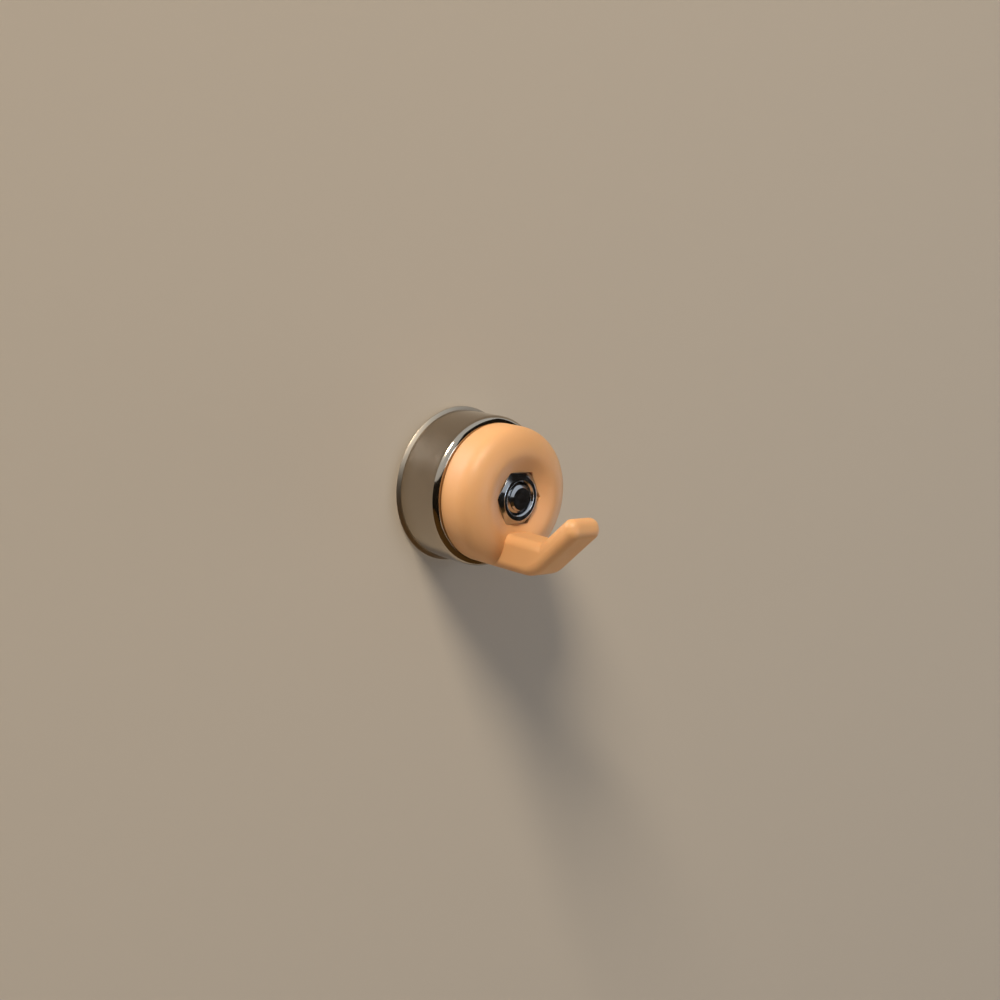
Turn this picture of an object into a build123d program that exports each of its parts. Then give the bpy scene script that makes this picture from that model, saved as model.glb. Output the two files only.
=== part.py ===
"""Magnetic hook: a pot magnet with a threaded stud, and a moulded hook held on it by a captive hex nut.

Millimetres, +Z up. The origin is the centre of the magnet's back face, which lies on the wall in the plane Y = 0.
The hook faces -Y. Turned profiles are drawn as (radius, distance out from the wall).
"""
import os
from math import cos, radians, sin, tan

from build123d import *

# Pot magnet
cup_radius = 12.0
rim_flare = 0.5
rim_thickness = 0.2
rim_flare_height = 0.6
cup_height = 8.6
cup_wall = 1.6
cup_floor = 2.4
cup_front_round = 1.2
potting_width = 1.4
potting_recess = 0.35
potting_clearance = 0.05

# Threaded stud, nominal M5
stud_radius = 2.5
stud_length = 6.5
stud_end_chamfer = 0.75
stud_head_radius = 4.0
stud_head_height = 1.2
stud_clearance = 0.05

# Hex nut, nominal M5
nut_across_flats = 8.0
nut_height = 4.0
nut_face_radius = 3.45
nut_chamfer_angle = 30
nut_mouth_depth = 0.3
thread_clearance = 0.05

# Ring of the hook body
ring_radius = 11.0
ring_height = 6.9
ring_front_round = 3.6
ring_back_chamfer = 0.3
ridge_round = 4.0
dish_angle = 25
pocket_floor = 2.3
pocket_clearance = 0.05
bore_clearance = 0.3

# Arm of the hook body
arm_width = 6.5
arm_root_height = 5.6
arm_rim_inset = 0.1
arm_straight_length = 6.0
arm_rise_angle = 44
arm_rise_length = 11.4
arm_tip_height = 3.35
arm_tip_lean = 20
arm_inner_bend_round = 3.0
arm_outer_bend_round = 5.0
arm_edge_round = 1.5
arm_edge_round_limit = 0.45  # share of the arm's thickness

# Planes and places shared by the pieces
turning_plane = Plane(origin=(0, 0, 0), x_dir=(1, 0, 0), z_dir=(0, 0, -1))
side_plane = Plane(origin=(0, 0, 0), x_dir=(0, -1, 0), z_dir=(-1, 0, 0))
floor_inside = cup_height - cup_floor
head_step = floor_inside + stud_head_height
ring_back = cup_height
pocket_bottom = ring_back + pocket_floor
ring_front = ring_back + ring_height


def facing_plane(distance):
    """Plane parallel to the wall, looking out from it."""
    return Plane(origin=(0, -distance, 0), x_dir=(1, 0, 0), z_dir=(0, -1, 0))


# Magnet cup: a drawn pot with a flared rim on the wall and a stepped hole for the stud in its floor
rim_radius = cup_radius + rim_flare
cup_bore = cup_radius - cup_wall
stud_hole = stud_radius + stud_clearance
head_hole = stud_head_radius + stud_clearance
with BuildPart() as magnet_cup:
    with BuildSketch(turning_plane):
        with BuildLine():
            Polyline(
                (cup_bore, 0),
                (rim_radius, 0),
                (rim_radius, rim_thickness),
                (cup_radius, rim_flare_height),
                (cup_radius, cup_height - cup_front_round),
            )
            RadiusArc(
                (cup_radius, cup_height - cup_front_round),
                (cup_radius - cup_front_round, cup_height),
                -cup_front_round,
            )
            Polyline(
                (cup_radius - cup_front_round, cup_height),
                (stud_hole, cup_height),
                (stud_hole, head_step),
                (head_hole, head_step),
                (head_hole, floor_inside),
                (cup_bore, floor_inside),
                (cup_bore, 0),
            )
        make_face()
    revolve(axis=Axis.Y)

# Magnet disc: seated on the cup's floor and ground flush with the cup's rim
magnet_radius = cup_bore - potting_width
with BuildPart() as magnet_disc:
    with BuildSketch(facing_plane(0)):
        Circle(magnet_radius)
    extrude(amount=floor_inside)

# Potting ring: fills the gap between the disc and the cup's wall
with BuildPart() as potting_ring:
    with BuildSketch(facing_plane(potting_recess)):
        Circle(cup_bore - potting_clearance)
        Circle(magnet_radius + potting_clearance, mode=Mode.SUBTRACT)
    extrude(amount=floor_inside - potting_recess)

# Threaded stud: a flat head let into the cup's floor, a plain major diameter and a chamfered end
stud_end = cup_height + stud_length
with BuildPart() as threaded_stud:
    with BuildSketch(facing_plane(floor_inside)):
        Circle(stud_head_radius)
    extrude(amount=stud_head_height)
    with BuildSketch(facing_plane(head_step)):
        Circle(stud_radius)
    extrude(amount=stud_end - head_step)
    chamfer(threaded_stud.edges().sort_by(Axis.Y)[0], stud_end_chamfer)

# Hex nut: corners left and right, both faces chamfered, thread mouths countersunk
nut_bore = stud_radius + thread_clearance
nut_corner_radius = nut_across_flats / 2 / cos(radians(30))
nut_chamfer_height = (nut_corner_radius - nut_face_radius) * tan(radians(nut_chamfer_angle))
nut_front = pocket_bottom + nut_height
with BuildPart() as hex_nut:
    with BuildSketch(facing_plane(pocket_bottom)):
        RegularPolygon(nut_across_flats / 2, 6, major_radius=False)
    extrude(amount=nut_height)
    with BuildSketch(turning_plane):
        Polygon(
            (nut_bore + nut_mouth_depth, pocket_bottom),
            (nut_face_radius, pocket_bottom),
            (nut_corner_radius, pocket_bottom + nut_chamfer_height),
            (nut_corner_radius, nut_front - nut_chamfer_height),
            (nut_face_radius, nut_front),
            (nut_bore + nut_mouth_depth, nut_front),
            (nut_bore, nut_front - nut_mouth_depth),
            (nut_bore, pocket_bottom + nut_mouth_depth),
            align=None,
        )
    revolve(axis=Axis.Y, mode=Mode.INTERSECT)

# Hook arm: its side outline runs straight out, bends up and ends in a blunt leaning tip
arm_root = ring_front - ring_front_round
root_low = -(ring_radius - arm_rim_inset)
root_high = root_low + arm_root_height
bend_out = ring_front + arm_straight_length
rise_out = arm_rise_length * cos(radians(arm_rise_angle))
rise_up = arm_rise_length * sin(radians(arm_rise_angle))
tip_low = (bend_out + rise_out, root_low + rise_up)
tip_edge = arm_tip_height / cos(radians(arm_rise_angle - arm_tip_lean))
tip_high = (tip_low[0] - tip_edge * sin(radians(arm_tip_lean)), tip_low[1] + tip_edge * cos(radians(arm_tip_lean)))
inner_bend_out = tip_high[0] - (tip_high[1] - root_high) / tan(radians(arm_rise_angle))
with BuildPart() as hook_arm:
    with BuildSketch(side_plane) as arm_side:
        Polygon(
            (arm_root, root_high),
            (arm_root, root_low),
            (bend_out, root_low),
            tip_low,
            tip_high,
            (inner_bend_out, root_high),
            align=None,
        )
        corners = arm_side.vertices().sort_by(Axis.X)
        outer_bend, inner_bend = corners[2:4].sort_by(Axis.Y)
        fillet(outer_bend, arm_outer_bend_round)
        fillet(inner_bend, arm_inner_bend_round)
    extrude(amount=arm_width / 2, both=True)
    side_edges = hook_arm.faces().filter_by(Axis.X).edges()
    tip_edges = hook_arm.edges().filter_by(Axis.X).sort_by(Axis.Y)[:2]
    fillet(side_edges + tip_edges, min(arm_edge_round, arm_edge_round_limit * arm_tip_height))

# Hook body: the dished ring and its arm in one piece, with the nut's pocket and the stud's bore
body_bore = stud_radius + bore_clearance
ridge_radius = ring_radius - ring_front_round
shoulder = ring_front_round * cos(radians(45))
dish_start = ridge_radius - ridge_round * sin(radians(dish_angle))
dish_start_height = ring_front - ridge_round * (1 - cos(radians(dish_angle)))
dish_bottom = dish_start_height - (dish_start - body_bore) * tan(radians(dish_angle))
with BuildPart() as hook_body:
    with BuildSketch(turning_plane):
        with BuildLine():
            Polyline(
                (body_bore, ring_back),
                (ring_radius - ring_back_chamfer, ring_back),
                (ring_radius, ring_back + ring_back_chamfer),
                (ring_radius, arm_root),
            )
            Spline(
                (ring_radius, arm_root),
                (ridge_radius + shoulder, arm_root + shoulder),
                (ridge_radius, ring_front),
                (dish_start, dish_start_height),
                tangents=[(0, 1), (-cos(radians(dish_angle)), -sin(radians(dish_angle)))],
            )
            Polyline((dish_start, dish_start_height), (body_bore, dish_bottom), (body_bore, ring_back))
        make_face()
    revolve(axis=Axis.Y)
    add(hook_arm.part)
    with BuildSketch(facing_plane(pocket_bottom)):
        RegularPolygon(nut_across_flats / 2 + pocket_clearance, 6, major_radius=False)
    extrude(amount=ring_front - pocket_bottom, mode=Mode.SUBTRACT)

pieces = {
    "magnet_cup": magnet_cup,
    "magnet_disc": magnet_disc,
    "potting_ring": potting_ring,
    "threaded_stud": threaded_stud,
    "hex_nut": hex_nut,
    "hook_body": hook_body,
}
os.makedirs("parts", exist_ok=True)
for name, piece in pieces.items():
    piece.part.label = name
    export_step(piece.part, f"parts/{name}.step")
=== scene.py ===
"""Magnetic hook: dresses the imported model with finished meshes, materials, a studio stage and a camera.

Everything is in metres in the model's own frame: the wall is the plane Y = 0, the hook faces -Y and +Z is up.
Turned sections are lists of (radius, distance out from the wall).
"""
from math import atan2, cos, degrees, pi, radians, sin, tan, tau

import bmesh
import bpy
from bpy.props import FloatProperty, FloatVectorProperty, PointerProperty
from bpy.types import Operator, Panel, PropertyGroup
from mathutils import Matrix, Vector


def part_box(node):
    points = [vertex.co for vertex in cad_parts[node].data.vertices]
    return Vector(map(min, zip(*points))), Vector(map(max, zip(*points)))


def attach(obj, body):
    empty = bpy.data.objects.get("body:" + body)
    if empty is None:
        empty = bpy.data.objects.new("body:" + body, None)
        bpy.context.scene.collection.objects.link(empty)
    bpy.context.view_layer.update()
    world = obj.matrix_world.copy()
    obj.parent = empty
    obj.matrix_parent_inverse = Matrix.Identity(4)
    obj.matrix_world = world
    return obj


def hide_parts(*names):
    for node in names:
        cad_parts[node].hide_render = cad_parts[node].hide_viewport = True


bl_info = {
    "name": "Magnetic Hook",
    "version": (1, 0, 0),
    "blender": (4, 5, 0),
    "location": "3D View > Sidebar > Magnetic Hook",
    "description": "Finishes a magnetic wall hook and sets it on a pale studio wall",
    "category": "Add Mesh",
}

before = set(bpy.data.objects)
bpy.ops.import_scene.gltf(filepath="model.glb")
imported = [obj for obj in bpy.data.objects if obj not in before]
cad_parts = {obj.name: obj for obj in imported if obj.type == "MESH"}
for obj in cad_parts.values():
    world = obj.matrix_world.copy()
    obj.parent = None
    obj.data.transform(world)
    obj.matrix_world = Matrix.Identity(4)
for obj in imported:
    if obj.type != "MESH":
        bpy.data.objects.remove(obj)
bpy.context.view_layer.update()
MM = 0.001
ROUND_STEPS = 192
SAME_POINT = 0.0005 * MM
SHARP_ANGLE = radians(28)
# Most values of a noise texture lie in this span.
NOISE_SPAN = {"From Min": 0.3, "From Max": 0.7}


def linear_colour(hex_code):
    """Linear RGBA of an sRGB hex colour."""
    parts = [int(hex_code[i:i + 2], 16) / 255 for i in (1, 3, 5)]
    linear = [c / 12.92 if c <= 0.04045 else ((c + 0.055) / 1.055) ** 2.4 for c in parts]
    return (*linear, 1.0)


# Settings


class CupSettings(PropertyGroup):
    """Sizes and finish of the magnet's cup, its disc and the resin round the disc."""

    rim_flare: FloatProperty(
        name="Rim flare", description="How far the rim stands out from the cup's side",
        default=0.5 * MM, unit="LENGTH", precision=5,
    )
    rim_lip: FloatProperty(
        name="Rim lip", description="Thickness of the rim's rounded edge",
        default=0.2 * MM, unit="LENGTH", precision=5,
    )
    rim_height: FloatProperty(
        name="Rim height", description="How far from the wall the rim's flare starts",
        default=0.6 * MM, unit="LENGTH", precision=5,
    )
    wall: FloatProperty(
        name="Wall", description="Thickness of the cup's side",
        default=1.6 * MM, unit="LENGTH", precision=5,
    )
    front_round: FloatProperty(
        name="Front round", description="Radius of the cup's front edge",
        default=1.2 * MM, unit="LENGTH", precision=5,
    )
    disc_round: FloatProperty(
        name="Disc round", description="Radius of the magnet disc's edges",
        default=0.25 * MM, unit="LENGTH", precision=5,
    )
    resin_climb: FloatProperty(
        name="Resin climb", description="How far the cast resin creeps up the walls beside it",
        default=0.12 * MM, unit="LENGTH", precision=5,
    )
    plate_colour: FloatVectorProperty(
        name="Nickel", description="Colour of the bright nickel plate",
        subtype="COLOR", size=4, default=linear_colour("#B3A899"),
    )
    resin_colour: FloatVectorProperty(
        name="Resin", description="Colour of the cast resin",
        subtype="COLOR", size=4, default=linear_colour("#1D1B19"),
    )


class FastenerSettings(PropertyGroup):
    """Sizes and finish of the threaded stud and the hex nut."""

    thread_pitch: FloatProperty(
        name="Thread pitch", description="Distance between neighbouring threads",
        default=0.8 * MM, unit="LENGTH", precision=5,
    )
    thread_depth: FloatProperty(
        name="Thread depth", description="Height of the thread from root to crest",
        default=0.49 * MM, unit="LENGTH", precision=5,
    )
    thread_runout: FloatProperty(
        name="Thread run-out", description="Length over which the thread fades at its root",
        default=0.8 * MM, unit="LENGTH", precision=5,
    )
    stud_radius: FloatProperty(
        name="Stud radius", description="Major radius of the thread",
        default=2.5 * MM, unit="LENGTH", precision=5,
    )
    stud_chamfer: FloatProperty(
        name="Stud chamfer", description="Chamfer at the stud's free end",
        default=0.75 * MM, unit="LENGTH", precision=5,
    )
    stud_head_height: FloatProperty(
        name="Stud head height", description="Height of the flat head let into the cup's floor",
        default=1.2 * MM, unit="LENGTH", precision=5,
    )
    nut_face_radius: FloatProperty(
        name="Nut face radius", description="Radius of the flat ring on the nut's faces",
        default=3.45 * MM, unit="LENGTH", precision=5,
    )
    nut_chamfer_angle: FloatProperty(
        name="Nut chamfer", description="Slope of the chamfer on the nut's corners",
        default=radians(30), subtype="ANGLE",
    )
    nut_mouth: FloatProperty(
        name="Nut mouth", description="Depth of the countersink at the nut's bore",
        default=0.3 * MM, unit="LENGTH", precision=5,
    )
    clearance: FloatProperty(
        name="Clearance", description="Room round the stud in the nut's bore and in the cup's floor",
        default=0.05 * MM, unit="LENGTH", precision=5,
    )
    edge_round: FloatProperty(
        name="Edge round", description="Radius of the nut's tumbled edges",
        default=0.07 * MM, unit="LENGTH", precision=5,
    )
    plate_colour: FloatVectorProperty(
        name="Zinc", description="Colour of the zinc plate",
        subtype="COLOR", size=4, default=linear_colour("#A5A8AD"),
    )


class BodySettings(PropertyGroup):
    """Finish of the moulded hook."""

    colour: FloatVectorProperty(
        name="Peach", description="Colour of the moulded plastic",
        subtype="COLOR", size=4, default=linear_colour("#E6AF79"),
    )
    shade_colour: FloatVectorProperty(
        name="Peach flow", description="Slightly deeper colour along the moulding's flow",
        subtype="COLOR", size=4, default=linear_colour("#E0A66F"),
    )


class StageSettings(PropertyGroup):
    """Camera, backdrop, cards and room."""

    azimuth: FloatProperty(
        name="Azimuth", description="Camera's turn about the vertical, from straight in front",
        default=radians(-44.83), subtype="ANGLE",
    )
    elevation: FloatProperty(
        name="Elevation", description="Camera's height above the target, as an angle",
        default=radians(8.76), subtype="ANGLE",
    )
    roll: FloatProperty(
        name="Roll", description="Camera's turn about its own line of sight",
        default=radians(5.07), subtype="ANGLE",
    )
    distance: FloatProperty(
        name="Distance", description="From the camera to its target",
        default=239.76 * MM, unit="LENGTH",
    )
    lens: FloatProperty(
        name="Lens", description="Focal length of the camera in millimetres",
        default=51.84, subtype="DISTANCE_CAMERA",
    )
    sensor: FloatProperty(
        name="Sensor", description="Width of the camera's sensor in millimetres",
        default=36.0, subtype="DISTANCE_CAMERA",
    )
    nearest: FloatProperty(
        name="Nearest", description="Nearest distance that the camera sees",
        default=5 * MM, unit="LENGTH",
    )
    target: FloatVectorProperty(
        name="Target", description="Point at the middle of the picture",
        subtype="XYZ", size=3, default=(10.38 * MM, 0.0, -3.22 * MM),
    )
    wall_gap: FloatProperty(
        name="Wall gap", description="Hairline between the magnet's back and the wall",
        default=0.2 * MM, unit="LENGTH", precision=5,
    )
    wall_hole: FloatProperty(
        name="Wall hole", description="Radius of the hole in the wall behind the magnet",
        default=12.2 * MM, unit="LENGTH", precision=5,
    )
    floor_drop: FloatProperty(
        name="Floor drop", description="How far the floor lies below the hook",
        default=0.5, unit="LENGTH",
    )
    sweep: FloatProperty(
        name="Sweep", description="Radius of the curve from the wall into the floor",
        default=0.12, unit="LENGTH",
    )
    backdrop_width: FloatProperty(
        name="Backdrop width", description="Width and depth of the backdrop",
        default=3.0, unit="LENGTH",
    )
    backdrop_colour: FloatVectorProperty(
        name="Backdrop", description="Colour of the wall and floor",
        subtype="COLOR", size=4, default=linear_colour("#CFC4B6"),
    )
    floor_colour: FloatVectorProperty(
        name="Floor", description="How much paler the floor looks than the light on it makes it",
        subtype="COLOR", size=4, default=linear_colour("#A8A199"),
    )
    card_distance: FloatProperty(
        name="Card distance", description="From the hook to the cards that its metal reflects",
        default=0.6, unit="LENGTH",
    )
    card_bottom: FloatProperty(
        name="Card bottom", description="Height of the cards' lower edges",
        default=-0.3, unit="LENGTH",
    )
    left_card_top: FloatProperty(
        name="Left card top", description="Height of the left card's upper edge",
        default=0.08, unit="LENGTH",
    )
    right_card_top: FloatProperty(
        name="Right card top", description="Height of the right card's upper edge",
        default=0.6, unit="LENGTH",
    )
    window_top: FloatProperty(
        name="Window top", description="Height of the opening between the cards",
        default=0.12, unit="LENGTH",
    )
    card_colour: FloatVectorProperty(
        name="Card", description="Colour of the dark cards",
        subtype="COLOR", size=4, default=linear_colour("#2A2622"),
    )
    floor_card_colour: FloatVectorProperty(
        name="Floor card", description="Colour of the brown card under the hook",
        subtype="COLOR", size=4, default=linear_colour("#5C4424"),
    )
    room_low_colour: FloatVectorProperty(
        name="Room low", description="Colour of the room near the floor",
        subtype="COLOR", size=4, default=linear_colour("#CFC6BA"),
    )
    room_high_colour: FloatVectorProperty(
        name="Room high", description="Colour of the room overhead",
        subtype="COLOR", size=4, default=linear_colour("#EAF0F6"),
    )
    room_light: FloatProperty(
        name="Room light", description="How brightly the room lights the hook",
        default=0.2, min=0.0,
    )
    room_backdrop: FloatProperty(
        name="Room backdrop", description="How bright the room and its reflections look, where 1 is white",
        default=0.9, min=0.0,
    )


class HookSettings(PropertyGroup):
    """All settings of the magnetic hook."""

    cup: PointerProperty(type=CupSettings)
    fastener: PointerProperty(type=FastenerSettings)
    body: PointerProperty(type=BodySettings)
    stage: PointerProperty(type=StageSettings)


# Shared mesh tools


def arc(centre, radius, start, end, steps):
    """Points of a circular arc, angles in degrees from the first axis."""
    angles = [radians(start + (end - start) * i / steps) for i in range(steps + 1)]
    return [(centre[0] + radius * cos(a), centre[1] + radius * sin(a)) for a in angles]


def sweep_round(bm, section, shift=0):
    """Joins the sections at equal steps round the Y axis; the last joins the first, shifted by some rows."""
    columns = []
    for step in range(ROUND_STEPS):
        angle = tau * step / ROUND_STEPS
        points = section(angle)
        columns.append([bm.verts.new((r * cos(angle), -out, r * sin(angle))) for r, out in points])
    columns.append(columns[0][shift:])
    for left, right in zip(columns, columns[1:]):
        for low in range(len(right) - 1):
            bm.faces.new((left[low], right[low], right[low + 1], left[low + 1]))


def fill_band(bm, first_line, second_line):
    """Fills the band between two lines of points with faces."""
    first = [bm.verts.new(point) for point in first_line]
    second = [bm.verts.new(point) for point in second_line]
    for i in range(len(first) - 1):
        bm.faces.new((first[i], first[i + 1], second[i + 1], second[i]))


def into_scene(name, data):
    """Puts a mesh, a light or a camera into the scene as an object."""
    made = bpy.data.objects.new(name, data)
    bpy.context.scene.collection.objects.link(made)
    return made


def new_object(name, bm, material):
    """Turns a mesh in the making into an object of one material."""
    mesh = bpy.data.meshes.new(name)
    bm.to_mesh(mesh)
    bm.free()
    mesh.materials.append(material)
    return into_scene(name, mesh)


def new_piece(name, bm, body, material, replaced):
    """Closes a mesh into an object that rides on a body in place of a node of the model."""
    bmesh.ops.remove_doubles(bm, verts=bm.verts, dist=SAME_POINT)
    bmesh.ops.dissolve_degenerate(bm, edges=bm.edges, dist=SAME_POINT)
    bmesh.ops.recalc_face_normals(bm, faces=bm.faces)
    piece = new_object(name, bm, material)
    piece.data.shade_smooth()
    piece.data.set_sharp_from_angle(angle=SHARP_ANGLE)
    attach(piece, body)
    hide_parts(replaced)
    return piece


def round_edges(piece, radius):
    """Breaks the sharp edges of a piece with a small bevel."""
    bevel = piece.modifiers.new("Broken edges", "BEVEL")
    bevel.width = radius
    bevel.segments = 3
    bevel.limit_method = "ANGLE"
    bevel.angle_limit = SHARP_ANGLE
    bevel.harden_normals = True


# Shared node tools


def add_node(tree, kind, inputs=None, **settings):
    """Adds a node with its settings; an input takes either a value or the socket that feeds it."""
    node = tree.nodes.new(kind)
    for name, value in settings.items():
        setattr(node, name, value)
    for key, value in (inputs or {}).items():
        if isinstance(value, bpy.types.NodeSocket):
            tree.links.new(value, node.inputs[key])
        else:
            node.inputs[key].default_value = value
    return node


def mend_normals(body):
    """Closes the model's edges of no length and lays the normals that they spoil on their own faces."""
    closed_length = 0.001 * MM
    least_agreement = 0.8
    weld = body.modifiers.new("Closed points", "WELD")
    weld.mode = "CONNECTED"
    weld.merge_threshold = closed_length
    tree = bpy.data.node_groups.new("Mended normals", "GeometryNodeTree")
    tree.is_modifier = True
    for way in ("INPUT", "OUTPUT"):
        tree.interface.new_socket("Geometry", in_out=way, socket_type="NodeSocketGeometry")
    shape = add_node(tree, "NodeGroupInput")
    normals = add_node(tree, "GeometryNodeInputNormal")
    smooth = normals.outputs["Normal"]
    flat = normals.outputs["True Normal"]
    agreement = add_node(tree, "ShaderNodeVectorMath", {0: smooth, 1: flat}, operation="DOT_PRODUCT")
    stray = add_node(
        tree, "FunctionNodeCompare",
        {"A": agreement.outputs["Value"], "B": least_agreement},
        operation="LESS_THAN",
    )
    mended = add_node(
        tree, "GeometryNodeSwitch",
        {"Switch": stray.outputs[0], "False": smooth, "True": flat},
        input_type="VECTOR",
    )
    laid = add_node(
        tree, "GeometryNodeSetMeshNormal",
        {"Mesh": shape.outputs[0], "Custom Normal": mended.outputs[0]},
        mode="FREE", domain="CORNER",
    )
    add_node(tree, "NodeGroupOutput", {0: laid.outputs[0]})
    modifier = body.modifiers.new("Mended normals", "NODES")
    modifier.node_group = tree


def new_material(name):
    """Empty node material with its output; returns the material, its node tree and the output."""
    material = bpy.data.materials.new(name)
    material.use_nodes = True
    tree = material.node_tree
    tree.nodes.clear()
    return material, tree, add_node(tree, "ShaderNodeOutputMaterial")


def turned_coordinates(tree, place):
    """Coordinates of (distance from the Y axis, distance along it), so a pattern runs in rings."""
    parts = add_node(tree, "ShaderNodeSeparateXYZ", {0: place})
    flat = add_node(tree, "ShaderNodeCombineXYZ", {"X": parts.outputs["X"], "Y": parts.outputs["Z"]})
    radius = add_node(tree, "ShaderNodeVectorMath", {0: flat.outputs[0]}, operation="LENGTH")
    rings = add_node(
        tree, "ShaderNodeCombineXYZ", {"X": radius.outputs["Value"], "Y": parts.outputs["Y"]}
    )
    return rings.outputs[0]


def rays_that_see(tree, rays):
    """One for rays by which the camera sees a surface, straight, in a reflection or through something."""
    bent = add_node(
        tree, "ShaderNodeMath",
        {0: rays.outputs["Is Glossy Ray"], 1: rays.outputs["Is Transmission Ray"]},
        operation="MAXIMUM",
    )
    seen = add_node(
        tree, "ShaderNodeMath", {0: rays.outputs["Is Camera Ray"], 1: bent.outputs[0]}, operation="MAXIMUM"
    )
    return seen.outputs[0]


# Materials


def bright_nickel(settings):
    """Bright nickel on drawn steel: a warm near-mirror with faint drawing rings, smears and a few pits."""
    material, tree, output = new_material("Bright nickel plate on drawn steel")
    place = add_node(tree, "ShaderNodeTexCoord").outputs["Object"]
    rings = turned_coordinates(tree, place)
    # Real drawing lines are a few hundredths of a millimetre wide; here they are coarser so that they show.
    ring_width = 0.12 * MM
    smear_size = 3.5 * MM
    pit_spacing = 1.8 * MM
    relief = 0.02 * MM
    lines = add_node(
        tree, "ShaderNodeTexNoise", {"Vector": rings, "Scale": 1 / ring_width, "Detail": 3.0}
    )
    smears = add_node(
        tree, "ShaderNodeTexNoise", {"Vector": place, "Scale": 1 / smear_size, "Detail": 4.0}
    )
    roughness = add_node(
        tree, "ShaderNodeMapRange",
        {"Value": smears.outputs["Fac"], **NOISE_SPAN, "To Min": 0.07, "To Max": 0.15},
    )
    # The rim is scuffed where it is pulled off and set down, so it scatters the light in a broad pale line.
    scuff_fade = 0.1
    depth = add_node(tree, "ShaderNodeSeparateXYZ", {0: rings})
    scuffed = add_node(
        tree, "ShaderNodeMapRange",
        {
            "Value": depth.outputs["Y"],
            "From Min": -(1 + scuff_fade) * settings.rim_height,
            "From Max": -(1 - scuff_fade) * settings.rim_height,
            "To Min": 0.0,
            "To Max": 0.36,
        },
    )
    finish = add_node(
        tree, "ShaderNodeMath", {0: roughness.outputs[0], 1: scuffed.outputs[0]}, operation="MAXIMUM"
    )
    pits = add_node(
        tree, "ShaderNodeTexVoronoi", {"Vector": place, "Scale": 1 / pit_spacing, "Randomness": 1.0}
    )
    pit_mask = add_node(
        tree, "ShaderNodeMapRange",
        {"Value": pits.outputs["Distance"], "From Min": 0.03, "From Max": 0.06, "To Min": 0.0, "To Max": 1.0},
    )
    ring_bump = add_node(
        tree, "ShaderNodeBump",
        {"Height": lines.outputs["Fac"], "Strength": 0.05, "Distance": relief},
    )
    pit_bump = add_node(
        tree, "ShaderNodeBump",
        {"Height": pit_mask.outputs[0], "Strength": 0.3, "Distance": relief, "Normal": ring_bump.outputs[0]},
    )
    shader = add_node(
        tree, "ShaderNodeBsdfPrincipled",
        {
            "Base Color": settings.plate_colour,
            "Metallic": 1.0,
            "Roughness": finish.outputs[0],
            "Normal": pit_bump.outputs[0],
        },
    )
    tree.links.new(shader.outputs[0], output.inputs["Surface"])
    return material


def ground_nickel(settings):
    """Nickel over a ground magnet: straight grinding lines and soft scuffs that spread the reflections."""
    material, tree, output = new_material("Nickel plate on ground magnet")
    place = add_node(tree, "ShaderNodeTexCoord").outputs["Object"]
    line_width = 0.1 * MM
    line_length = 6.0 * MM
    line_angle = radians(35)
    scuff_size = 2.5 * MM
    relief = 0.02 * MM
    stretched = add_node(
        tree, "ShaderNodeMapping",
        {
            "Vector": place,
            "Rotation": (0.0, line_angle, 0.0),
            "Scale": (1 / line_length, 1 / line_width, 1 / line_width),
        },
    )
    lines = add_node(
        tree, "ShaderNodeTexNoise", {"Vector": stretched.outputs[0], "Scale": 1.0, "Detail": 4.0}
    )
    scuffs = add_node(
        tree, "ShaderNodeTexNoise", {"Vector": place, "Scale": 1 / scuff_size, "Detail": 5.0}
    )
    roughness = add_node(
        tree, "ShaderNodeMapRange",
        {"Value": scuffs.outputs["Fac"], **NOISE_SPAN, "To Min": 0.22, "To Max": 0.36},
    )
    bump = add_node(
        tree, "ShaderNodeBump",
        {"Height": lines.outputs["Fac"], "Strength": 0.15, "Distance": relief},
    )
    shader = add_node(
        tree, "ShaderNodeBsdfPrincipled",
        {
            "Base Color": settings.plate_colour,
            "Metallic": 1.0,
            "Roughness": roughness.outputs[0],
            "Normal": bump.outputs[0],
        },
    )
    tree.links.new(shader.outputs[0], output.inputs["Surface"])
    return material


def cast_resin(settings):
    """Black cast epoxy: a dull skin with shallow ripples and a few pinholes where bubbles broke."""
    material, tree, output = new_material("Cast epoxy resin, black")
    place = add_node(tree, "ShaderNodeTexCoord").outputs["Object"]
    ripple_size = 1.1 * MM
    ripple_depth = 0.1 * MM
    bubble_spacing = 1.4 * MM
    bubble_depth = 0.08 * MM
    ripples = add_node(
        tree, "ShaderNodeTexNoise", {"Vector": place, "Scale": 1 / ripple_size, "Detail": 3.0}
    )
    bubbles = add_node(
        tree, "ShaderNodeTexVoronoi", {"Vector": place, "Scale": 1 / bubble_spacing, "Randomness": 1.0}
    )
    holes = add_node(
        tree, "ShaderNodeMapRange",
        {
            "Value": bubbles.outputs["Distance"],
            "From Min": 0.05,
            "From Max": 0.12,
            "To Min": 0.0,
            "To Max": 1.0,
        },
    )
    roughness = add_node(
        tree, "ShaderNodeMapRange",
        {"Value": ripples.outputs["Fac"], **NOISE_SPAN, "To Min": 0.35, "To Max": 0.55},
    )
    ripple_bump = add_node(
        tree, "ShaderNodeBump",
        {"Height": ripples.outputs["Fac"], "Strength": 0.4, "Distance": ripple_depth},
    )
    hole_bump = add_node(
        tree, "ShaderNodeBump",
        {
            "Height": holes.outputs[0],
            "Strength": 0.6,
            "Distance": bubble_depth,
            "Normal": ripple_bump.outputs[0],
        },
    )
    shader = add_node(
        tree, "ShaderNodeBsdfPrincipled",
        {
            "Base Color": settings.resin_colour,
            "Roughness": roughness.outputs[0],
            "IOR": 1.55,
            "Normal": hole_bump.outputs[0],
        },
    )
    tree.links.new(shader.outputs[0], output.inputs["Surface"])
    return material


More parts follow.
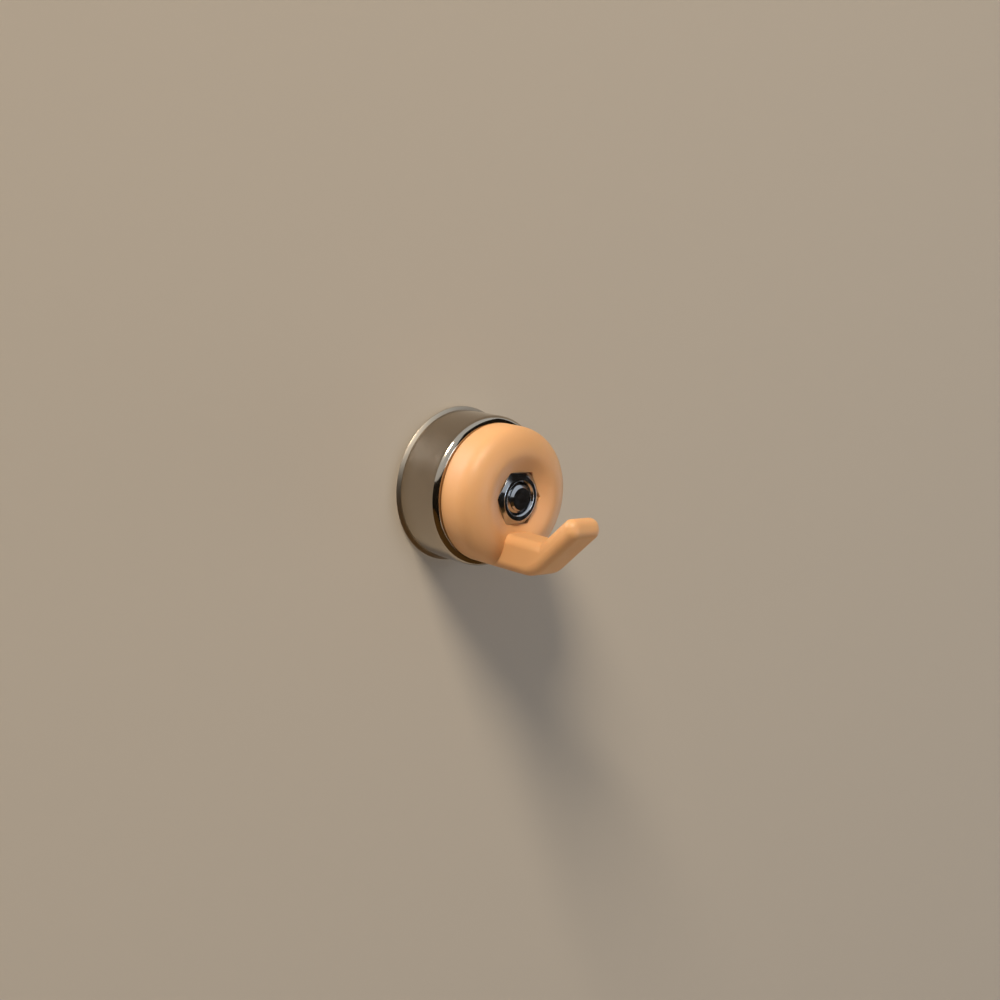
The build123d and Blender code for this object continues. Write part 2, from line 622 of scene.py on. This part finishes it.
def zinc_plate(settings):
    """Clear zinc on turned steel: a cool grey metal with cutting rings and a slightly cloudy gloss."""
    material, tree, output = new_material("Clear zinc plate on turned steel")
    place = add_node(tree, "ShaderNodeTexCoord").outputs["Object"]
    rings = turned_coordinates(tree, place)
    ring_width = 0.1 * MM
    cloud_size = 0.9 * MM
    relief = 0.02 * MM
    lines = add_node(
        tree, "ShaderNodeTexNoise", {"Vector": rings, "Scale": 1 / ring_width, "Detail": 2.0}
    )
    clouds = add_node(
        tree, "ShaderNodeTexNoise", {"Vector": place, "Scale": 1 / cloud_size, "Detail": 4.0}
    )
    roughness = add_node(
        tree, "ShaderNodeMapRange",
        {"Value": clouds.outputs["Fac"], **NOISE_SPAN, "To Min": 0.1, "To Max": 0.2},
    )
    bump = add_node(
        tree, "ShaderNodeBump",
        {"Height": lines.outputs["Fac"], "Strength": 0.12, "Distance": relief},
    )
    shader = add_node(
        tree, "ShaderNodeBsdfPrincipled",
        {
            "Base Color": settings.plate_colour,
            "Metallic": 1.0,
            "Roughness": roughness.outputs[0],
            "Normal": bump.outputs[0],
        },
    )
    tree.links.new(shader.outputs[0], output.inputs["Surface"])
    return material


def moulded_plastic(settings):
    """Moulded ABS: an even peach with a broad soft sheen and the faint orange peel of a polished mould."""
    material, tree, output = new_material("Moulded ABS, peach")
    place = add_node(tree, "ShaderNodeTexCoord").outputs["Object"]
    flow_size = 6.0 * MM
    # Real orange peel on a polished mould is finer than this; it is drawn coarser so that it shows.
    peel_size = 0.5 * MM
    peel_depth = 0.03 * MM
    sheen_size = 2.2 * MM
    flow = add_node(tree, "ShaderNodeTexNoise", {"Vector": place, "Scale": 1 / flow_size, "Detail": 3.0})
    colour = add_node(
        tree, "ShaderNodeMix",
        {"Factor": flow.outputs["Fac"], "A": settings.colour, "B": settings.shade_colour},
        data_type="RGBA",
    )
    sheen = add_node(tree, "ShaderNodeTexNoise", {"Vector": place, "Scale": 1 / sheen_size, "Detail": 3.0})
    roughness = add_node(
        tree, "ShaderNodeMapRange",
        {"Value": sheen.outputs["Fac"], **NOISE_SPAN, "To Min": 0.44, "To Max": 0.54},
    )
    peel = add_node(tree, "ShaderNodeTexNoise", {"Vector": place, "Scale": 1 / peel_size, "Detail": 2.0})
    bump = add_node(
        tree, "ShaderNodeBump",
        {"Height": peel.outputs["Fac"], "Strength": 0.12, "Distance": peel_depth},
    )
    shader = add_node(
        tree, "ShaderNodeBsdfPrincipled",
        {
            "Base Color": colour.outputs["Result"],
            "Roughness": roughness.outputs[0],
            "IOR": 1.53,
            "Subsurface Weight": 0.15,
            "Subsurface Radius": (1.0, 0.5, 0.25),
            "Subsurface Scale": 1.2 * MM,
            "Normal": bump.outputs[0],
        },
    )
    tree.links.new(shader.outputs[0], output.inputs["Surface"])
    return material


def backdrop_paper(settings):
    """Matt backdrop paper, open behind the magnet; a camera behind the wall looks through it."""
    material, tree, output = new_material("Matt backdrop paper")
    material.cycles.emission_sampling = "NONE"
    rays = add_node(tree, "ShaderNodeLightPath")
    sides = add_node(tree, "ShaderNodeNewGeometry")
    facing = add_node(tree, "ShaderNodeSeparateXYZ", {0: sides.outputs["Normal"]})
    seen = rays_that_see(tree, rays)
    # Only the floor, which faces up, looks paler than the light on it makes it.
    floor_seen = add_node(
        tree, "ShaderNodeMath", {0: seen, 1: facing.outputs["Z"]}, operation="MULTIPLY", use_clamp=True
    )
    paper = add_node(tree, "ShaderNodeBsdfDiffuse", {"Color": settings.backdrop_colour, "Roughness": 0.6})
    pale = add_node(
        tree, "ShaderNodeEmission", {"Color": settings.floor_colour, "Strength": floor_seen.outputs[0]}
    )
    sheet = add_node(tree, "ShaderNodeAddShader", {0: paper.outputs[0], 1: pale.outputs[0]})
    seen_from_behind = add_node(
        tree, "ShaderNodeMath",
        {0: rays.outputs["Is Camera Ray"], 1: sides.outputs["Backfacing"]},
        operation="MULTIPLY",
    )
    let_through = add_node(
        tree, "ShaderNodeMath",
        {0: seen_from_behind.outputs[0], 1: rays.outputs["Is Shadow Ray"]},
        operation="MAXIMUM",
    )
    place = add_node(tree, "ShaderNodeTexCoord").outputs["Object"]
    rings = turned_coordinates(tree, place)
    from_axis = add_node(tree, "ShaderNodeSeparateXYZ", {0: rings})
    hole = add_node(
        tree, "ShaderNodeMath", {0: from_axis.outputs["X"], 1: settings.wall_hole}, operation="LESS_THAN"
    )
    opened = add_node(
        tree, "ShaderNodeMath", {0: let_through.outputs[0], 1: hole.outputs[0]}, operation="MAXIMUM"
    )
    clear = add_node(tree, "ShaderNodeBsdfTransparent")
    mixed = add_node(
        tree, "ShaderNodeMixShader", {0: opened.outputs[0], 1: sheet.outputs[0], 2: clear.outputs[0]}
    )
    tree.links.new(mixed.outputs[0], output.inputs["Surface"])
    return material


def matt_card(name, colour):
    """Matt card of one colour."""
    material, tree, output = new_material(name)
    card = add_node(tree, "ShaderNodeBsdfDiffuse", {"Color": colour})
    tree.links.new(card.outputs[0], output.inputs["Surface"])
    return material


# Pieces


class HOOK_OT_magnet_cup(Operator):
    """Turn the nickel plated cup with its flared, rounded rim"""

    bl_idname = "magnetic_hook.magnet_cup"
    bl_label = "Magnet Cup"

    def execute(self, context):
        sizes = context.scene.magnetic_hook.cup
        fastener = context.scene.magnetic_hook.fastener
        low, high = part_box("magnet_cup")
        stud_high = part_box("threaded_stud")[1]
        front = -low.y
        rim = high.x
        side = rim - sizes.rim_flare
        bore = side - sizes.wall
        lip = sizes.rim_lip / 2
        slope = atan2(sizes.rim_flare, sizes.rim_height - sizes.rim_lip)
        edge = sizes.front_round
        floor = -stud_high.y
        step = floor + fastener.stud_head_height
        stud_hole = fastener.stud_radius + fastener.clearance
        head_hole = stud_high.x + fastener.clearance
        section = [(bore, 0.0)]
        section += arc((rim - lip, lip), lip, -90, degrees(slope), steps=10)
        lip_radius, lip_out = section[-1]
        section.append((side, lip_out + (lip_radius - side) / tan(slope)))
        section += arc((side - edge, front - edge), edge, 0, 90, steps=20)
        section += [
            (stud_hole, front),
            (stud_hole, step),
            (head_hole, step),
            (head_hole, floor),
            (bore, floor),
            (bore, 0.0),
        ]
        bm = bmesh.new()
        sweep_round(bm, lambda angle: section)
        piece = new_piece("nickel_cup", bm, "magnet", bright_nickel(sizes), "magnet_cup")
        return {"FINISHED"}


class HOOK_OT_magnet_back(Operator):
    """Make the ground magnet disc and the resin cast round it"""

    bl_idname = "magnetic_hook.magnet_back"
    bl_label = "Magnet Back"

    def execute(self, context):
        sizes = context.scene.magnetic_hook.cup
        self.make_disc(sizes)
        self.make_resin(sizes)
        return {"FINISHED"}

    def make_disc(self, sizes):
        """Magnet disc with rounded edges."""
        low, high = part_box("magnet_disc")
        edge = sizes.disc_round
        section = [(0.0, 0.0)]
        section += arc((high.x - edge, edge), edge, -90, 0, steps=6)
        section += arc((high.x - edge, -low.y - edge), edge, 0, 90, steps=6)
        section.append((0.0, -low.y))
        bm = bmesh.new()
        sweep_round(bm, lambda angle: section)
        disc = new_piece("magnet_face", bm, "magnet", ground_nickel(sizes), "magnet_disc")

    def make_resin(self, sizes):
        """Resin ring whose back surface dips between the walls that it creeps up."""
        low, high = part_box("potting_ring")
        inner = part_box("magnet_disc")[1].x
        outer = high.x
        middle = (inner + outer) / 2
        dip = -high.y
        rows = 12
        steepness = 4
        section = [(inner, -low.y)]
        for row in range(rows + 1):
            across = 2 * row / rows - 1
            climb = sizes.resin_climb * across ** steepness
            section.append((middle + across * (outer - inner) / 2, dip - climb))
        section += [(outer, -low.y), (inner, -low.y)]
        bm = bmesh.new()
        sweep_round(bm, lambda angle: section)
        ring = new_piece("resin_ring", bm, "magnet", cast_resin(sizes), "potting_ring")


class HOOK_OT_threaded_stud(Operator):
    """Cut the stud's helical thread, with its flat head and chamfered end"""

    bl_idname = "magnetic_hook.threaded_stud"
    bl_label = "Threaded Stud"

    def execute(self, context):
        sizes = context.scene.magnetic_hook.fastener
        low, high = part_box("threaded_stud")
        floor = -high.y
        step = floor + sizes.stud_head_height
        start = -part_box("magnet_cup")[0].y
        end = -low.y
        length = end - start
        pitch = sizes.thread_pitch
        radius = sizes.stud_radius
        end_radius = radius - sizes.stud_chamfer
        rows_per_turn = 16
        spare_turns = 3
        turns = int(length / pitch) + spare_turns
        # Where the crest ends and the root starts, as shares of the half pitch from the crest's middle.
        crest_end = 0.125
        root_start = 0.75

        def thread_height(along, angle):
            """Share of the thread's depth at a place on the stud: flat crest, 60 degree flanks, flat root."""
            from_crest = abs(2 * ((along / pitch - angle / tau) % 1.0) - 1)
            flank = (root_start - from_crest) / (root_start - crest_end)
            faded = 1 - along / sizes.thread_runout
            return max(min(flank, 1.0), faded, 0.0)

        def thread_section(angle):
            """Rows that climb with the helix and stop at the stud's two ends."""
            points = []
            for row in range(turns * rows_per_turn + 1):
                helix = angle / tau + row / rows_per_turn - 1
                along = min(max(helix * pitch, 0.0), length)
                threaded = radius - sizes.thread_depth * (1 - thread_height(along, angle))
                chamfered = end_radius + length - along
                points.append((min(threaded, chamfered), start + along))
            return points

        head = [(0.0, floor), (high.x, floor), (high.x, step), (radius, step), (radius, start)]
        end_face = [(end_radius, end), (0.0, end)]
        bm = bmesh.new()
        sweep_round(bm, lambda angle: head)
        sweep_round(bm, thread_section, shift=rows_per_turn)
        sweep_round(bm, lambda angle: end_face)
        piece = new_piece("stud_thread", bm, "magnet", zinc_plate(sizes), "threaded_stud")
        return {"FINISHED"}


class HOOK_OT_hex_nut(Operator):
    """Make the hex nut with chamfered corners, a countersunk bore and broken edges"""

    bl_idname = "magnetic_hook.hex_nut"
    bl_label = "Hex Nut"

    def execute(self, context):
        sizes = context.scene.magnetic_hook.fastener
        low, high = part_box("hex_nut")
        back = -high.y
        front = -low.y
        half_flats = high.z
        bore = sizes.stud_radius + sizes.clearance
        mouth = sizes.nut_mouth
        face = sizes.nut_face_radius

        def nut_section(angle):
            """Section through the nut, whose side follows the hexagon."""
            side = half_flats / cos(angle % (pi / 3) - pi / 6)
            drop = (side - face) * tan(sizes.nut_chamfer_angle)
            return [
                (bore, back + mouth),
                (bore + mouth, back),
                (face, back),
                (side, back + drop),
                (side, front - drop),
                (face, front),
                (bore + mouth, front),
                (bore, front - mouth),
                (bore, back + mouth),
            ]

        bm = bmesh.new()
        sweep_round(bm, nut_section)
        piece = new_piece("captive_nut", bm, "hook", zinc_plate(sizes), "hex_nut")
        round_edges(piece, sizes.edge_round)
        return {"FINISHED"}


class HOOK_OT_hook_body(Operator):
    """Finish the moulded hook in peach plastic"""

    bl_idname = "magnetic_hook.hook_body"
    bl_label = "Hook Body"

    def execute(self, context):
        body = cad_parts["hook_body"]
        body.data.materials[0] = moulded_plastic(context.scene.magnetic_hook.body)
        mend_normals(body)
        return {"FINISHED"}


class HOOK_OT_stage(Operator):
    """Set up the backdrop, cards, lamps, world and camera"""

    bl_idname = "magnetic_hook.stage"
    bl_label = "Stage"

    def execute(self, context):
        settings = context.scene.magnetic_hook.stage
        self.make_backdrop(settings)
        self.make_reflection_cards(settings)
        self.make_lamps()
        self.make_world(context, settings)
        self.make_camera(context, settings)
        context.scene.view_settings.view_transform = "Standard"
        return {"FINISHED"}

    def make_backdrop(self, settings):
        """One sheet that hangs as the wall and curves forward into the floor."""
        half = settings.backdrop_width / 2
        floor = -settings.floor_drop
        sweep = settings.sweep
        wall = settings.wall_gap
        bend = arc((0.0, 0.0), sweep, 0, -90, steps=24)
        line = [(wall, half)]
        line += [(wall - sweep + y, floor + sweep + z) for y, z in bend]
        line.append((-settings.backdrop_width, floor))
        bm = bmesh.new()
        fill_band(bm, [(-half, y, z) for y, z in line], [(half, y, z) for y, z in line])
        sheet = new_object("backdrop", bm, backdrop_paper(settings))
        sheet.data.shade_smooth()

    def make_reflection_cards(self, settings):
        """Dark cards bent round the front with a window between them, and a brown one under the hook."""
        dark = matt_card("Matt dark card", settings.card_colour)
        brown = matt_card("Matt brown card", settings.floor_card_colour)
        bottom = settings.card_bottom
        full_top = settings.right_card_top
        # Degrees round the hook, where 180 is on its left, 270 in front of it and 360 on its right.
        left_end = 180
        window_left = 275
        window_right = 300
        right_end = 345
        cards = (
            ("left_card", left_end, window_left, bottom, settings.left_card_top),
            ("lintel_card", window_left, window_right, settings.window_top, full_top),
            ("right_card", window_right, right_end, bottom, full_top),
        )
        for name, start, end, low, high in cards:
            line = arc((0.0, 0.0), settings.card_distance, start, end, steps=32)
            bm = bmesh.new()
            fill_band(bm, [(x, y, low) for x, y in line], [(x, y, high) for x, y in line])
            self.hang_card(name, bm, dark)
        half_disc = arc((0.0, 0.0), settings.card_distance, 180, 360, steps=64)
        bm = bmesh.new()
        bm.faces.new([bm.verts.new((x, y, bottom)) for x, y in half_disc])
        self.hang_card("floor_card", bm, brown)

    def hang_card(self, name, bm, material):
        """Makes a card that shows only in reflections."""
        card = new_object(name, bm, material)
        card.visible_camera = False
        card.visible_diffuse = False
        card.visible_shadow = False

    def make_lamps(self):
        """A soft warm key from the upper left, cooler lamps in front and on the right, and one behind."""
        self.hang_lamp("key_lamp", (-0.35, -0.19, 0.5), size=(0.2, 0.2), watts=3.7, tint="#FFF1DA")
        self.hang_lamp("window_lamp", (0.1, -0.57, 0.03), size=(0.12, 0.3), watts=0.6, tint="#DDEAFA")
        self.hang_lamp("side_lamp", (0.5, -0.12, -0.1), size=(0.3, 0.3), watts=0.35, tint="#F3F6FA")
        self.hang_lamp("back_lamp", (-0.3, 0.5, 0.35), size=(0.4, 0.4), watts=3.0, tint="#FFFFFF")

    def hang_lamp(self, name, place, size, watts, tint):
        """Makes an oval lamp that points at the hook."""
        light = bpy.data.lights.new(name, "AREA")
        light.shape = "ELLIPSE"
        light.size, light.size_y = size
        light.energy = watts
        light.color = linear_colour(tint)[:3]
        lamp = into_scene(name, light)
        lamp.location = place
        lamp.rotation_euler = (-Vector(place)).to_track_quat("-Z", "Y").to_euler()

    def make_world(self, context, settings):
        """Even room, paler overhead; the eye and the metal see it brighter than it lights the hook."""
        low_height = -0.6
        high_height = 0.8
        world = bpy.data.worlds.new("Studio room")
        world.use_nodes = True
        tree = world.node_tree
        tree.nodes.clear()
        direction = add_node(tree, "ShaderNodeTexCoord").outputs["Generated"]
        parts = add_node(tree, "ShaderNodeSeparateXYZ", {0: direction})
        height = add_node(
            tree, "ShaderNodeMapRange",
            {
                "Value": parts.outputs["Z"],
                "From Min": low_height,
                "From Max": high_height,
                "To Min": 0.0,
                "To Max": 1.0,
            },
            interpolation_type="SMOOTHSTEP",
        )
        colour = add_node(
            tree, "ShaderNodeMix",
            {"Factor": height.outputs[0], "A": settings.room_low_colour, "B": settings.room_high_colour},
            data_type="RGBA",
        )
        tint = colour.outputs["Result"]
        light = add_node(tree, "ShaderNodeBackground", {"Color": tint, "Strength": settings.room_light})
        look = add_node(tree, "ShaderNodeBackground", {"Color": tint, "Strength": settings.room_backdrop})
        rays = add_node(tree, "ShaderNodeLightPath")
        seen = rays_that_see(tree, rays)
        room = add_node(tree, "ShaderNodeMixShader", {0: seen, 1: light.outputs[0], 2: look.outputs[0]})
        add_node(tree, "ShaderNodeOutputWorld", {"Surface": room.outputs[0]})
        context.scene.world = world

    def make_camera(self, context, settings):
        """Camera on its target from the stated angles, then rolled about its line of sight."""
        data = bpy.data.cameras.new("camera")
        data.sensor_width = settings.sensor
        data.sensor_fit = "HORIZONTAL"
        data.lens = settings.lens
        data.clip_start = settings.nearest
        camera = into_scene("camera", data)
        level = cos(settings.elevation)
        sideways = sin(settings.azimuth) * level
        forward = cos(settings.azimuth) * level
        away = Vector((sideways, -forward, sin(settings.elevation)))
        place = Vector(settings.target) + away * settings.distance
        turn = (-away).to_track_quat("-Z", "Y").to_matrix().to_4x4()
        camera.matrix_world = Matrix.Translation(place) @ turn @ Matrix.Rotation(settings.roll, 4, "Z")
        context.scene.camera = camera


class HOOK_PT_sidebar(Panel):
    """Lists the hook's pieces and their settings"""

    bl_idname = "HOOK_PT_sidebar"
    bl_label = "Magnetic Hook"
    bl_space_type = "VIEW_3D"
    bl_region_type = "UI"
    bl_category = "Magnetic Hook"

    def draw(self, context):
        settings = context.scene.magnetic_hook
        for operator in PIECE_OPERATORS:
            self.layout.operator(operator.bl_idname)
        for title in ("cup", "fastener", "body", "stage"):
            group = getattr(settings, title)
            box = self.layout.box()
            box.label(text=title.capitalize())
            for name in group.bl_rna.properties.keys():
                if name not in {"rna_type", "name"}:
                    box.prop(group, name)


PIECE_OPERATORS = (
    HOOK_OT_magnet_cup,
    HOOK_OT_magnet_back,
    HOOK_OT_threaded_stud,
    HOOK_OT_hex_nut,
    HOOK_OT_hook_body,
    HOOK_OT_stage,
)
CLASSES = (
    CupSettings,
    FastenerSettings,
    BodySettings,
    StageSettings,
    HookSettings,
    *PIECE_OPERATORS,
    HOOK_PT_sidebar,
)


def register():
    for cls in CLASSES:
        bpy.utils.register_class(cls)
    bpy.types.Scene.magnetic_hook = PointerProperty(type=HookSettings)


def unregister():
    del bpy.types.Scene.magnetic_hook
    for cls in reversed(CLASSES):
        bpy.utils.unregister_class(cls)


def main():
    """Builds every piece and the stage."""
    register()
    bpy.ops.magnetic_hook.magnet_cup()
    bpy.ops.magnetic_hook.magnet_back()
    bpy.ops.magnetic_hook.threaded_stud()
    bpy.ops.magnetic_hook.hex_nut()
    bpy.ops.magnetic_hook.hook_body()
    bpy.ops.magnetic_hook.stage()


if __name__ == "__main__":
    main()
